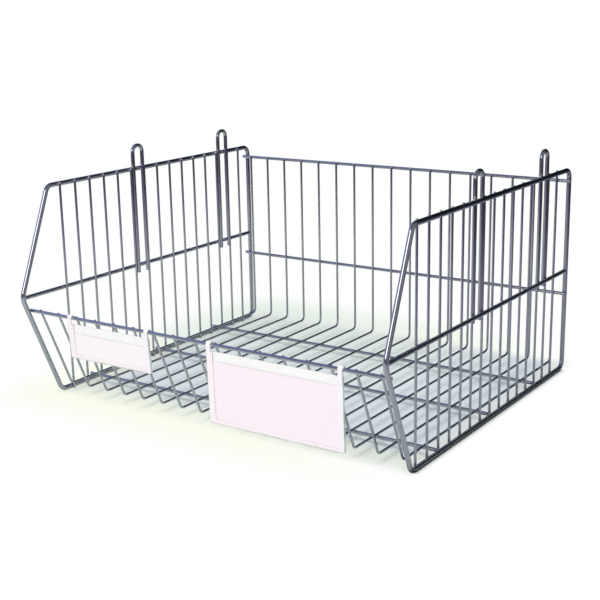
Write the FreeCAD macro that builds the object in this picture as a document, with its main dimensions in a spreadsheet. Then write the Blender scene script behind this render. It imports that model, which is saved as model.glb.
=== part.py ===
import FreeCAD, Part
import math
import operator
import os
import Sketcher

# A stacking wire dump bin.  Two bent side frames stand as skids and carry everything else: their mid
# rails, the upright infill wires, the hairpin stacking loops, the rails across the back and front, the
# cross wires under the floor, and a basket of U-shaped wires that makes the back, the floor and the
# front lip.  Two ticket holders hook over the front rail and swing on it, and a card slides into each.
#
# Model frame: +X to the right, +Y to the back, +Z up, in millimetres, with the origin at the middle of
# the floor rectangle.  The sketches of the bin measure Y back from its foremost face and Z up from the
# floor; each body is then moved forward by half of the bin's depth.

# Driving dimensions, in millimetres and degrees.  Heights and depths of wires run between centrelines.
SIZES = {
    # side frames
    "frame_spacing": 600.0,         # left frame to right frame
    "frame_depth": 484.0,           # bottom front corner to rear upright
    "frame_height": 309.5,          # bottom rail to top rail
    "nose_reach": 63.6,             # how far the nose stands in front of the bottom front corner
    "nose_height": 155.0,           # nose and mid rail, above the bottom rail
    "frame_wire": 7.0,              # wire diameter
    "frame_bend": 12.0,             # centreline radius of the four square-set corners
    "nose_bend": 25.0,              # centreline radius of the nose
    "mid_rail_wire": 6.0,
    # upright wires of the side panels
    "infill_wire": 3.5,
    "infill_start": 20.0,           # first wire, behind the bottom front corner
    "infill_end": 35.6,             # last wire, in front of the rear upright
    # stacking loops
    "loop_wire": 6.0,
    "loop_rise": 37.0,              # top of the loop above the top rail
    "loop_tail": 10.0,              # leg ends below the mid rail
    "loop_flat": 2.0,               # straight left between the loop's two bends
    "loop_side_gap": 0.1,           # between a leg and the infill wire beside it
    # rails across the bin
    "rail_wire": 5.0,
    "back_rail_overhang": 2.0,      # past the outer face of each frame
    "front_rail_inset": 2.5,        # inside the outer face of each frame
    "back_top_rail_drop": 4.5,      # below the end of the frames' top rear bends
    "back_mid_rail_height": 119.5,  # above the bottom rail of the frames
    "front_rail_drop": 11.0,        # below the end of the frames' nose bends
    "cross_wire": 5.0,
    # basket wires
    "basket_wire": 3.5,
    "basket_margin": 15.2,          # outer wires, inside the side frames
    "basket_bend": 8.0,             # centreline radius
    "end_inset": 0.5,               # a cut end stops this far inside the edge it is welded to
    # ticket holders
    "hook_clearance": 0.3,          # between hook and rail
    "hook_thickness": 1.6,
    "hook_width": 7.0,
    "hook_tail": 3.0,               # straight end of the hook behind the rail
    "hook_root": 1.0,               # run of the hook inside the plate
    "hook_side_gap": 0.8,           # between a hook and the basket wire beside it
    "plate_drop": 8.0,              # rail to the top edge of the plate
    "plate_corner": 2.0,
    "plate_back": 1.2,              # thickness of the back wall
    "lip_thickness": 1.0,
    "lip_width": 2.5,               # lip that laps over the card
    "pocket_floor": 3.0,
    "card_thickness": 0.5,
    "card_clearance": 0.3,
    "card_drop": 13.0,              # card's top edge below the plate's top edge
    "small_plate_height": 50.5,
    "small_hang_angle": 3.75,       # puts the centre of mass under the rail
    "large_plate_height": 100.5,
    "large_hang_angle": 2.15,
}

BASKET_WIRES = 17
INFILL_GROUPS = 5
WIRES_PER_GROUP = 3
LOOPS_AFTER_INFILL = {"front": 6, "rear": 13}
CROSS_WIRES_AFTER_INFILL = {"front": 2, "middle": 7, "rear": 12}
SIDES = {"left": -1, "right": 1}


# ---------------------------------------------------------------------------------------------------
# Sizes that follow from the sheet
# ---------------------------------------------------------------------------------------------------

class Size:
    """A length or an angle with both its value and the sheet expression that gives it."""

    def __init__(self, value, text):
        self.value = value
        self.text = text

    def __add__(self, other):
        return combine(operator.add, "+", self, other)

    def __sub__(self, other):
        return combine(operator.sub, "-", self, other)

    def __mul__(self, other):
        return combine(operator.mul, "*", self, other)

    def __truediv__(self, other):
        return combine(operator.truediv, "/", self, other)

    def __neg__(self):
        return self * -1


def as_size(item):
    return item if isinstance(item, Size) else Size(item, f"({item})")


def combine(operation, sign, left, right):
    left = as_size(left)
    right = as_size(right)
    return Size(operation(left.value, right.value), f"({left.text} {sign} {right.text})")


def sine(angle):
    return Size(math.sin(math.radians(angle.value)), f"sin({angle.text})")


def cosine(angle):
    return Size(math.cos(math.radians(angle.value)), f"cos({angle.text})")


def arc_tangent(ratio):
    return Size(math.degrees(math.atan(ratio.value)), f"atan({ratio.text})")


def square_root(size):
    return Size(math.sqrt(size.value), f"sqrt({size.text})")


doc = FreeCAD.newDocument("dump_bin")
sheet = doc.addObject("Spreadsheet::Sheet", "Sizes")
for row, (alias, number) in enumerate(SIZES.items(), start=1):
    sheet.set(f"A{row}", alias)
    sheet.set(f"B{row}", str(number))
    sheet.setAlias(f"B{row}", alias)
doc.recompute()


def size(alias):
    return Size(float(sheet.get(alias)), f"Sizes.{alias}")


frame_radius = size("frame_wire") / 2
rail_radius = size("rail_wire") / 2
basket_radius = size("basket_wire") / 2
infill_radius = size("infill_wire") / 2
mid_rail_radius = size("mid_rail_wire") / 2

# The two slants of a side frame lean from the upright by these angles, and the nose bend between them
# holds the bin's foremost point back from the sharp corner of the slants.
lower_lean = arc_tangent(size("nose_reach") / size("nose_height"))
upper_lean = arc_tangent(size("nose_reach") / (size("frame_height") - size("nose_height")))
nose_centre_setback = (size("nose_bend") * cosine((lower_lean - upper_lean) / 2)
                       / cosine((lower_lean + upper_lean) / 2))

# The mid rail's square end meets the hollow of the nose bend, and stands this far off its middle.
nose_hollow_radius = size("nose_bend") - frame_radius
nose_hollow = nose_hollow_radius - square_root(nose_hollow_radius * nose_hollow_radius
                                               - mid_rail_radius * mid_rail_radius)

# Centrelines of the side frame.
nose_y = frame_radius + size("nose_bend") - nose_centre_setback
front_y = nose_y + size("nose_reach")
rear_y = front_y + size("frame_depth")
bottom_z = frame_radius
nose_z = bottom_z + size("nose_height")
top_z = bottom_z + size("frame_height")
bin_depth = rear_y + frame_radius
frame_x = size("frame_spacing") / 2
frame_outer_x = frame_x + frame_radius

# Rails lie on the inner side of the frames, cross wires on top of their bottom rails.
rail_offset = frame_radius + rail_radius
back_rail_y = rear_y - rail_offset
back_top_rail_z = top_z - size("frame_bend") - size("back_top_rail_drop")
back_mid_rail_z = bottom_z + size("back_mid_rail_height")
nose_bend_half_turn = (lower_lean + upper_lean) / 2
nose_bend_run = size("nose_bend") * sine(nose_bend_half_turn) / cosine(nose_bend_half_turn)
front_rail_height = size("nose_height") - nose_bend_run * cosine(lower_lean) - size("front_rail_drop")
slant_slope = size("nose_reach") / size("nose_height")
front_rail_z = bottom_z + front_rail_height
front_rail_y = front_y - slant_slope * front_rail_height + rail_offset / cosine(lower_lean)
cross_wire_z = bottom_z + frame_radius + size("cross_wire") / 2

# Basket wires lie on the inner side of the rails and on top of the cross wires.  At the back they end
# just under the top of the rail, at the front level with the rail's axis.
rail_to_basket = rail_radius + basket_radius
basket_offset = rail_offset + rail_to_basket
basket_back_y = rear_y - basket_offset
basket_back_tip_z = back_top_rail_z + rail_radius - size("end_inset")
basket_floor_z = cross_wire_z + size("cross_wire") / 2 + basket_radius
basket_lip_foot_y = (front_y - slant_slope * (basket_floor_z - bottom_z)
                     + basket_offset / cosine(lower_lean))
basket_lip_tip_y = front_rail_y + rail_to_basket * cosine(lower_lean)
basket_lip_tip_z = front_rail_z + rail_to_basket * sine(lower_lean)

# Infill wires and basket wires are evenly spaced between their end wires.
infill_pitch = ((size("frame_depth") - size("infill_start") - size("infill_end"))
                / (INFILL_GROUPS * WIRES_PER_GROUP - 1))
basket_pitch = (size("frame_spacing") - size("basket_margin") * 2) / (BASKET_WIRES - 1)

# A stacking loop stands between two infill wires, each leg against the wire beside it.
loop_half_span = (infill_pitch / 2 - square_root(size("loop_wire") * size("infill_wire"))
                  - size("loop_side_gap"))

# Ticket holder, measured forward from the rail's axis: back wall, card slot, lips.
card_back = rail_radius + size("card_clearance")
slot_depth = size("card_thickness") + size("card_clearance") * 2
slot_front = rail_radius + slot_depth
plate_rear = rail_radius - size("plate_back")
plate_depth = size("plate_back") + slot_depth + size("lip_thickness")
hook_inner = rail_radius + size("hook_clearance")
hook_outer = hook_inner + size("hook_thickness")
hook_centre_gap = basket_radius + size("hook_side_gap") + size("hook_width") / 2


def infill_y(number):
    """Y of an infill wire, counted from 1 at the front; halves lie between two wires."""
    return front_y + size("infill_start") + infill_pitch * (number - 1)


def basket_x(number):
    """X of a basket wire, counted from 1 at the left; halves lie between two wires."""
    return basket_pitch * (number - (BASKET_WIRES + 1) / 2)


# ---------------------------------------------------------------------------------------------------
# Bodies, sketches and features
# ---------------------------------------------------------------------------------------------------

sub_parts = []


def bind(item, path, value):
    item.setExpression(path, value.text)


def new_body(label):
    body = doc.addObject("PartDesign::Body", label)
    body.Label = label
    sub_parts.append(body)
    return body


def place_in_bin(body, x=None):
    """Moves a body from the bin's sketch frame to the model frame, and to its X."""
    bind(body, ".Placement.Base.y", -bin_depth / 2)
    if x is not None:
        bind(body, ".Placement.Base.x", x)


def origin_feature(body, role):
    return next(item for item in body.Origin.OriginFeatures if item.Role == role)


def new_sketch(body, role, name, offset=None):
    """A sketch on one of the body's own origin planes, or at an offset along that plane's normal."""
    sketch = body.newObject("Sketcher::SketchObject", name)
    sketch.AttachmentSupport = [(origin_feature(body, role), "")]
    sketch.MapMode = "FlatFace"
    if offset is not None:
        bind(sketch, ".AttachmentOffset.Base.z", offset)
    return sketch


def dimension(sketch, kind, geometry, value):
    index = sketch.addConstraint(Sketcher.Constraint(kind, *geometry, value.value))
    sketch.setExpression(f"Constraints[{index}]", value.text)


def locate(sketch, geometry, vertex, across, up):
    """Fixes a point of the sketch by its two distances from the sketch's origin."""
    dimension(sketch, "DistanceX", (-1, 1, geometry, vertex), across)
    dimension(sketch, "DistanceY", (-1, 1, geometry, vertex), up)


def circle(sketch, across, up, radius):
    centre = FreeCAD.Vector(across.value, up.value, 0)
    index = sketch.addGeometry(Part.Circle(centre, FreeCAD.Vector(0, 0, 1), radius.value))
    locate(sketch, index, 3, across, up)
    dimension(sketch, "Radius", (index,), radius)


def bent_path(sketch, corners, closed=False):
    """Straight runs through the corners (across, up, bend), each joined by an arc of that bend radius.

    A corner whose bend is None stays sharp.
    """
    points = [FreeCAD.Vector(across.value, up.value, 0) for across, up, bend in corners]
    count = len(points)
    bends = {}
    for number, (across, up, bend) in enumerate(corners):
        if bend is None:
            continue
        back = (points[number - 1] - points[number]).normalize()
        ahead = (points[(number + 1) % count] - points[number]).normalize()
        half_angle = back.getAngle(ahead) / 2
        trim = bend.value / math.tan(half_angle)
        inward = (back + ahead).normalize()
        middle = points[number] + inward * (bend.value / math.sin(half_angle) - bend.value)
        bends[number] = (points[number] + back * trim, middle, points[number] + ahead * trim)

    lines = []
    for number in range(count if closed else count - 1):
        following = (number + 1) % count
        start = bends[number][2] if number in bends else points[number]
        end = bends[following][0] if following in bends else points[following]
        lines.append(sketch.addGeometry(Part.LineSegment(start, end)))

    for number, (across, up, bend) in enumerate(corners):
        before = lines[number - 1]
        if bend is not None:
            after = lines[number]
            add_bend(sketch, before, after, bends[number], points[number], corners[number])
        elif closed:
            sketch.addConstraint(Sketcher.Constraint("Coincident", before, 2, lines[number], 1))
            locate(sketch, before, 2, across, up)
        elif number == 0:
            locate(sketch, lines[0], 1, across, up)
        else:
            locate(sketch, before, 2, across, up)
            if number < count - 1:
                sketch.addConstraint(Sketcher.Constraint("Coincident", before, 2, lines[number], 1))


def add_bend(sketch, before, after, arc_points, corner_point, corner):
    """Joins two lines by an arc, with the sharp corner kept as a construction point."""
    across, up, bend = corner
    start, middle, end = arc_points
    arc = sketch.addGeometry(Part.Arc(start, middle, end))
    arc_starts_first = sketch.getPoint(arc, 1).distanceToPoint(start) < bend.value * 1e-6
    first, second = (1, 2) if arc_starts_first else (2, 1)
    sketch.addConstraint(Sketcher.Constraint("Tangent", before, 2, arc, first))
    sketch.addConstraint(Sketcher.Constraint("Tangent", arc, second, after, 1))
    dimension(sketch, "Radius", (arc,), bend)
    sharp = sketch.addGeometry(Part.Point(corner_point), True)
    sketch.addConstraint(Sketcher.Constraint("PointOnObject", sharp, 1, before))
    sketch.addConstraint(Sketcher.Constraint("PointOnObject", sharp, 1, after))
    locate(sketch, sharp, 1, across, up)


def rectangle(sketch, left, right, low, high):
    bent_path(sketch, [(left, low, None), (right, low, None), (right, high, None), (left, high, None)],
              closed=True)


def bent_wire(body, corners, radius, section_y, section_z, closed=False):
    """A round wire in the YZ plane; its section is drawn where the wire runs upright."""
    path = new_sketch(body, "YZ_Plane", "Path")
    bent_path(path, corners, closed)
    section = new_sketch(body, "XY_Plane", "Section", section_z)
    circle(section, Size(0.0, "0"), section_y, radius)
    pipe = body.newObject("PartDesign::AdditivePipe", "Wire")
    pipe.Profile = section
    pipe.Spine = (path, [])


def wire_across(body, y, z, radius, length):
    """A straight round wire along X, centred on the bin."""
    section = new_sketch(body, "YZ_Plane", "Section")
    circle(section, y, z, radius)
    pad = body.newObject("PartDesign::Pad", "Wire")
    pad.Profile = section
    pad.SideType = "Symmetric"
    bind(pad, "Length", length)


def pad_sketch(body, sketch, name, length):
    pad = body.newObject("PartDesign::Pad", name)
    pad.Profile = sketch
    bind(pad, "Length", length)
    return pad


def row_of(body, feature, direction, span, count):
    """Repeats a feature along a direction, from the first to the last over the span."""
    pattern = body.newObject("PartDesign::LinearPattern", "Row")
    pattern.Originals = [feature]
    pattern.Direction = direction
    pattern.Occurrences = count
    bind(pattern, "Length", span)
    body.Tip = pattern


# ---------------------------------------------------------------------------------------------------
# The bin
# ---------------------------------------------------------------------------------------------------

def side_frame(side):
    """A closed ring of thick wire: bottom skid, slanted nose, top rail and rear upright."""
    bend = size("frame_bend")
    corners = [
        (front_y, bottom_z, bend),
        (rear_y, bottom_z, bend),
        (rear_y, top_z, bend),
        (front_y, top_z, bend),
        (nose_y, nose_z, size("nose_bend")),
    ]
    body = new_body(f"{side}_side_frame")
    bent_wire(body, corners, frame_radius, rear_y, nose_z, closed=True)
    place_in_bin(body, frame_x * SIDES[side])


def side_mid_rail(side):
    """A straight wire butted between the nose and the rear upright."""
    start = frame_radius * 2 + nose_hollow
    end = rear_y - frame_radius
    body = new_body(f"{side}_side_mid_rail")
    section = new_sketch(body, "XZ_Plane", "Section", -start)
    circle(section, Size(0.0, "0"), nose_z, mid_rail_radius)
    rail = pad_sketch(body, section, "Rail", end - start)
    rail.Reversed = True
    place_in_bin(body, frame_x * SIDES[side])


def side_infill_wires(side, group):
    """Neighbouring upright wires on the inner faces of a side frame's top and bottom rails."""
    low = size("end_inset")
    high = top_z + frame_radius - size("end_inset")
    first = group * WIRES_PER_GROUP + 1
    body = new_body(f"{side}_infill_wires_{group + 1}")
    section = new_sketch(body, "XY_Plane", "Section", low)
    circle(section, Size(0.0, "0"), infill_y(first), infill_radius)
    wire = pad_sketch(body, section, "Wire", high - low)
    row_of(body, wire, (section, ["V_Axis"]), infill_pitch * (WIRES_PER_GROUP - 1), WIRES_PER_GROUP)
    place_in_bin(body, (frame_x - frame_radius - infill_radius) * SIDES[side])


def stacking_loop(side, end):
    """A hairpin that stands above the top rail and locates the frame of the bin stacked on it."""
    radius = size("loop_wire") / 2
    middle = infill_y(LOOPS_AFTER_INFILL[end] + 0.5)
    bend = loop_half_span - size("loop_flat") / 2
    foot_z = nose_z - size("loop_tail")
    head_z = top_z + size("loop_rise")
    front_leg = middle - loop_half_span
    rear_leg = middle + loop_half_span
    corners = [(front_leg, foot_z, None), (front_leg, head_z, bend), (rear_leg, head_z, bend),
               (rear_leg, foot_z, None)]
    body = new_body(f"{side}_{end}_stacking_loop")
    bent_wire(body, corners, radius, front_leg, foot_z)
    place_in_bin(body, (frame_x - frame_radius - radius) * SIDES[side])


def basket_wire(number):
    """One U-shaped wire: down the back, along the floor and up the slanted front lip."""
    bend = size("basket_bend")
    corners = [
        (basket_back_y, basket_back_tip_z, None),
        (basket_back_y, basket_floor_z, bend),
        (basket_lip_foot_y, basket_floor_z, bend),
        (basket_lip_tip_y, basket_lip_tip_z, None),
    ]
    body = new_body(f"basket_wire_{number:02d}")
    bent_wire(body, corners, basket_radius, basket_back_y, basket_back_tip_z)
    place_in_bin(body, basket_x(number))


def cross_rails():
    """Straight rails on the inner side of the uprights and of the lower slants."""
    back_end = frame_outer_x + size("back_rail_overhang")
    front_end = frame_outer_x - size("front_rail_inset")
    rails = {
        "back_top_rail": (back_rail_y, back_top_rail_z, back_end),
        "back_mid_rail": (back_rail_y, back_mid_rail_z, back_end),
        "front_rail": (front_rail_y, front_rail_z, front_end),
    }
    for label, (y, z, end) in rails.items():
        body = new_body(label)
        wire_across(body, y, z, rail_radius, end * 2)
        place_in_bin(body)


def base_cross_wires():
    """Straight wires under the basket floor, each halfway between two infill wires."""
    for end, wire_in_front in CROSS_WIRES_AFTER_INFILL.items():
        body = new_body(f"{end}_base_cross_wire")
        wire_across(body, infill_y(wire_in_front + 0.5), cross_wire_z, size("cross_wire") / 2,
                    (frame_outer_x - size("end_inset")) * 2)
        place_in_bin(body)


# ---------------------------------------------------------------------------------------------------
# Ticket holders
# ---------------------------------------------------------------------------------------------------

def hang_on_front_rail(body, middle_x, hang_angle):
    """Puts a body whose origin is the rail's axis on the front rail, turned by its hanging angle."""
    body.Placement = FreeCAD.Placement(
        FreeCAD.Vector(middle_x.value, front_rail_y.value - bin_depth.value / 2, front_rail_z.value),
        FreeCAD.Rotation(FreeCAD.Vector(1, 0, 0), hang_angle.value))
    bind(body, ".Placement.Base.x", middle_x)
    bind(body, ".Placement.Base.y", front_rail_y - bin_depth / 2)
    bind(body, ".Placement.Base.z", front_rail_z)
    bind(body, ".Placement.Rotation.Angle", hang_angle)


def hook_outline(sketch):
    """A hook over the rail: leg up in front of it, half a turn over the top, short tail behind."""
    centre = FreeCAD.Vector(0, 0, 0)
    root_z = -(size("plate_drop") + size("hook_root"))
    tail_z = -size("hook_tail")
    arcs = []
    for radius in (hook_inner, hook_outer):
        turn = Part.Circle(centre, FreeCAD.Vector(0, 0, 1), radius.value)
        arc = sketch.addGeometry(Part.ArcOfCircle(turn, 0, math.pi))
        sketch.addConstraint(Sketcher.Constraint("Coincident", arc, 3, -1, 1))
        dimension(sketch, "Radius", (arc,), radius)
        arcs.append(arc)
    for direction, vertex, end_z in ((-1, 2, root_z), (1, 1, tail_z)):
        sides = []
        for arc, radius in zip(arcs, (hook_inner, hook_outer)):
            across = direction * radius.value
            side = sketch.addGeometry(Part.LineSegment(FreeCAD.Vector(across, 0, 0),
                                                       FreeCAD.Vector(across, end_z.value, 0)))
            sketch.addConstraint(Sketcher.Constraint("Tangent", arc, vertex, side, 1))
            sketch.addConstraint(Sketcher.Constraint("Vertical", side))
            dimension(sketch, "DistanceY", (-1, 1, side, 2), end_z)
            sides.append(side)
        end = sketch.addGeometry(Part.LineSegment(sketch.getPoint(sides[0], 2),
                                                  sketch.getPoint(sides[1], 2)))
        sketch.addConstraint(Sketcher.Constraint("Coincident", sides[0], 2, end, 1))
        sketch.addConstraint(Sketcher.Constraint("Coincident", sides[1], 2, end, 2))


def ticket_holder(label, half_width, plate_height, middle_x, hang_angle):
    """A moulded plate with a card slot open at the top, hung from the rail by a hook at each end."""
    plate_top = -size("plate_drop")
    plate_bottom = plate_top - plate_height
    body = new_body(label)

    outline = new_sketch(body, "XZ_Plane", "PlateOutline", plate_rear)
    corner = size("plate_corner")
    bent_path(outline, [(-half_width, plate_bottom, corner), (half_width, plate_bottom, corner),
                        (half_width, plate_top, None), (-half_width, plate_top, None)], closed=True)
    pad_sketch(body, outline, "Plate", plate_depth)

    post = size("hook_width")
    slot = new_sketch(body, "XY_Plane", "SlotOutline", plate_top)
    rectangle(slot, post - half_width, half_width - post, -slot_front, -rail_radius)
    card_slot = body.newObject("PartDesign::Pocket", "CardSlot")
    card_slot.Profile = slot
    bind(card_slot, "Length", plate_height - size("pocket_floor"))

    window = new_sketch(body, "XZ_Plane", "WindowOutline", slot_front)
    frame_width = post + size("lip_width")
    rectangle(window, frame_width - half_width, half_width - frame_width,
              plate_bottom + size("pocket_floor") + size("lip_width"), plate_top)
    card_window = body.newObject("PartDesign::Pocket", "CardWindow")
    card_window.Profile = window
    card_window.Type = "ThroughAll"
    card_window.Reversed = True

    hook_sketch = new_sketch(body, "YZ_Plane", "HookOutline", -half_width)
    hook_outline(hook_sketch)
    hook = pad_sketch(body, hook_sketch, "Hook", size("hook_width"))
    row_of(body, hook, (origin_feature(body, "X_Axis"), [""]), half_width * 2 - size("hook_width"), 2)
    hang_on_front_rail(body, middle_x, hang_angle)


def ticket_card(label, half_width, plate_height, middle_x, hang_angle):
    """A plain card that drops into the slot and stands on its floor."""
    plate_top = -size("plate_drop")
    half_card = half_width - size("hook_width") - size("card_clearance")
    low = plate_top - plate_height + size("pocket_floor") + size("card_clearance")
    body = new_body(label)
    outline = new_sketch(body, "XZ_Plane", "Outline", card_back)
    rectangle(outline, -half_card, half_card, low, plate_top - size("card_drop"))
    pad_sketch(body, outline, "Card", size("card_thickness"))
    hang_on_front_rail(body, middle_x, hang_angle)


def ticket_holder_and_card(name, left_hook_x, right_hook_x):
    half_width = (right_hook_x - left_hook_x + size("hook_width")) / 2
    middle_x = (left_hook_x + right_hook_x) / 2
    plate_height = size(f"{name}_plate_height")
    hang_angle = size(f"{name}_hang_angle")
    ticket_holder(f"{name}_ticket_holder", half_width, plate_height, middle_x, hang_angle)
    ticket_card(f"{name}_ticket_card", half_width, plate_height, middle_x, hang_angle)


for side_name in SIDES:
    side_frame(side_name)
    side_mid_rail(side_name)
    for group_number in range(INFILL_GROUPS):
        side_infill_wires(side_name, group_number)
    for end_name in LOOPS_AFTER_INFILL:
        stacking_loop(side_name, end_name)
for wire_number in range(1, BASKET_WIRES + 1):
    basket_wire(wire_number)
cross_rails()
base_cross_wires()
ticket_holder_and_card("small", basket_x(3) - hook_centre_gap, basket_x(7) - hook_centre_gap)
ticket_holder_and_card("large", basket_x(10) - hook_centre_gap, basket_x(15.5))

# ---------------------------------------------------------------------------------------------------
# Recompute, check and write
# ---------------------------------------------------------------------------------------------------

doc.recompute()
for item in doc.Objects:
    if "Invalid" in item.State or "Error" in item.State:
        raise RuntimeError(f"{item.Label} failed: {item.State}")
os.makedirs("parts", exist_ok=True)
for body in sub_parts:
    if body.Shape.isNull() or not body.Shape.isValid():
        raise RuntimeError(f"{body.Label} has no valid shape")
for body in sub_parts:
    body.Shape.exportStep(f"parts/{body.Label}.step")
print(f"{len(sub_parts)} parts written, bin depth {bin_depth.value:.2f} mm")
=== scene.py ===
import itertools
import math

import bmesh
import bpy
from mathutils import Matrix, Vector


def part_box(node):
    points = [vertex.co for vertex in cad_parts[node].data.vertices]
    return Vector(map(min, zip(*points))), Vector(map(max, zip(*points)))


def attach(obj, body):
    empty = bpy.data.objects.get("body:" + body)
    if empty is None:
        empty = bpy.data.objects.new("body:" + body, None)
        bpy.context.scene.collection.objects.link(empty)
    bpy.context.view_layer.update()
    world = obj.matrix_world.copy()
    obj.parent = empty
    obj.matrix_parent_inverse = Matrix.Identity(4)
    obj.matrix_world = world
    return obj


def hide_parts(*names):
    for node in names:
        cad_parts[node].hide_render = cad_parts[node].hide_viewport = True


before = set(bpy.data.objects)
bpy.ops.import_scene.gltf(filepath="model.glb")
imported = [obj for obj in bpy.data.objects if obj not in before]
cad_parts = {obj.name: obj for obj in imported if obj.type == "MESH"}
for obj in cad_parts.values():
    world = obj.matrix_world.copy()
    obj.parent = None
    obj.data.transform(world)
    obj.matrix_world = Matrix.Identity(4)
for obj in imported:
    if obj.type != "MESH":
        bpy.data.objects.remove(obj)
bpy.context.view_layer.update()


# -----------------------------------------------------------------------------
# The viewpoint: in front of the bin and to its right, a little above the goods, as a shopper
# walking up to it sees it.
# -----------------------------------------------------------------------------

CAMERA_PLACE = Vector((0.94064, -1.37939, 0.57476))
AZIMUTH = 34.45
ELEVATION = 14.79
ROLL = math.radians(-1.09)
FOCAL_LENGTH = 69.65
FILM_WIDTH = 36.0


def way_out(azimuth, elevation):
    """The direction that leaves the bin at two angles in degrees; azimuth 0 is the front."""
    turn, rise = math.radians(azimuth), math.radians(elevation)
    return Vector((math.sin(turn) * math.cos(rise), -math.cos(turn) * math.cos(rise), math.sin(rise)))


backward = way_out(AZIMUTH, ELEVATION)
level_right = (-backward).cross(Vector((0, 0, 1))).normalized()
level_up = level_right.cross(-backward)
camera_right = level_right * math.cos(ROLL) + level_up * math.sin(ROLL)
camera_up = level_up * math.cos(ROLL) - level_right * math.sin(ROLL)
camera_turn = Matrix((camera_right, camera_up, backward)).transposed()

lens = bpy.data.cameras.new("viewpoint")
lens.lens = FOCAL_LENGTH
lens.sensor_width = FILM_WIDTH
viewpoint = bpy.data.objects.new("viewpoint", lens)
viewpoint.matrix_world = Matrix.Translation(CAMERA_PLACE) @ camera_turn.to_4x4()
bpy.context.scene.collection.objects.link(viewpoint)
bpy.context.scene.camera = viewpoint
bpy.context.scene.view_settings.view_transform = "Standard"


# -----------------------------------------------------------------------------
# Side frames: two closed rings of 7 mm drawn steel wire, each bent at four square-set corners and a
# wider nose, butt-welded in the bottom run and bright plated with the rest of the bin.  They are the
# skids that it stands on.
# -----------------------------------------------------------------------------

FRAME_WIRE = 0.007
FRAME_DEPTH = 0.484
NOSE_REACH = 0.0636
NOSE_HEIGHT = 0.155
FRAME_BEND = 0.012
NOSE_BEND = 0.025
FRAME_X = 0.300
SIDES = {"left": -1, "right": 1}

ring_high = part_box("left_side_frame")[1]
bottom_z = FRAME_WIRE / 2
top_z = ring_high.z - FRAME_WIRE / 2
rear_y = ring_high.y - FRAME_WIRE / 2
front_y = rear_y - FRAME_DEPTH
nose_y = front_y - NOSE_REACH
nose_z = bottom_z + NOSE_HEIGHT

HEAT_REACH = 0.005
CUT_CHAMFER = 0.0004
CUT_THICKNESS = 0.86
OFF_THE_WIRE = 1e-4
PAST_THE_END = 1e-6


def wire_route(corners, welds=(), closed=False):
    """The points that a wire follows, each as (point, bend radius, thickness, heat).

    Corners are (point, bend radius).  A weld on a straight run adds three points, so that its heat
    fades along the wire, and a cut end gets a small chamfer.
    """
    runs = len(corners) if closed else len(corners) - 1
    route = []
    for number in range(runs):
        start, bend = corners[number]
        end, next_bend = corners[(number + 1) % len(corners)]
        length = (end - start).length
        along = (end - start).normalized()
        cut_at_start = not closed and number == 0
        cut_at_end = not closed and number == runs - 1

        heights = []
        for weld in welds:
            height = (weld - start).dot(along)
            off_line = (weld - start - along * height).length
            if off_line < OFF_THE_WIRE and -PAST_THE_END <= height <= length + PAST_THE_END:
                heights.append(height)

        near = CUT_CHAMFER if cut_at_start else bend
        far = length - (CUT_CHAMFER if cut_at_end else next_bend)
        stops = [stop for height in heights for stop in (height - HEAT_REACH, height, height + HEAT_REACH)
                 if near < stop < far]
        stops.append(0.0)
        if cut_at_start:
            stops.append(CUT_CHAMFER)
        if cut_at_end:
            stops += [length - CUT_CHAMFER, length]
        for place, stop in enumerate(sorted(stops)):
            cut = (cut_at_start and stop == 0.0) or (cut_at_end and stop == length)
            heat = max([0.0] + [1 - abs(stop - height) / HEAT_REACH for height in heights])
            route.append((start + along * stop, bend if place == 0 else 0.0,
                          CUT_THICKNESS if cut else 1.0, heat))
    return route, closed


def new_tree(name, kind, inputs, outputs):
    """An empty node tree, with the sockets that it is given and those that it makes.

    Each socket is (name, type) or (name, type, value).
    """
    tree = bpy.data.node_groups.new(name, kind)
    for direction, sockets in (("INPUT", inputs), ("OUTPUT", outputs)):
        for label, socket_type, *value in sockets:
            socket = tree.interface.new_socket(name=label, in_out=direction,
                                               socket_type="NodeSocket" + socket_type)
            if value:
                socket.default_value = (*value[0], 1) if socket_type == "Color" else value[0]
    return tree, tree.nodes.new("NodeGroupInput").outputs, tree.nodes.new("NodeGroupOutput").inputs


def put(tree, kind, inputs=(), **settings):
    """Adds a node with these settings.

    An input, by name or by number, is another node's socket, a value, or a (red, green, blue) colour.
    """
    node = tree.nodes.new(kind)
    for label, value in settings.items():
        setattr(node, label, value)
    for label, value in dict(inputs).items():
        socket = node.inputs[label]
        if isinstance(value, bpy.types.NodeSocket):
            tree.links.new(value, socket)
        else:
            socket.default_value = (*value, 1) if socket.type == "RGBA" else value
    return node


def maths(tree, operation, *values):
    return put(tree, "ShaderNodeMath", dict(enumerate(values)), operation=operation).outputs[0]


def vector_maths(tree, operation, *values, output="Vector"):
    node = put(tree, "ShaderNodeVectorMath", dict(enumerate(values)), operation=operation)
    return node.outputs[output]


def parts(tree, vector):
    return list(put(tree, "ShaderNodeSeparateXYZ", {0: vector}).outputs)


def stored(tree, name, data_type="FLOAT"):
    """What the mesh in a geometry tree stores under a name."""
    node = put(tree, "GeometryNodeInputNamedAttribute", {"Name": name}, data_type=data_type)
    return node.outputs["Attribute"]


def store(tree, geometry, name, value, data_type="FLOAT"):
    node = put(tree, "GeometryNodeStoreNamedAttribute",
               {"Geometry": geometry, "Name": name, "Value": value}, data_type=data_type,
               domain="POINT")
    return node.outputs[0]


# Bends the routes, gives them their round section, and stores where each spot lies on the wire: round
# it (x and y) and along it (z), in metres.
SMOOTH_BELOW = math.radians(35)

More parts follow.
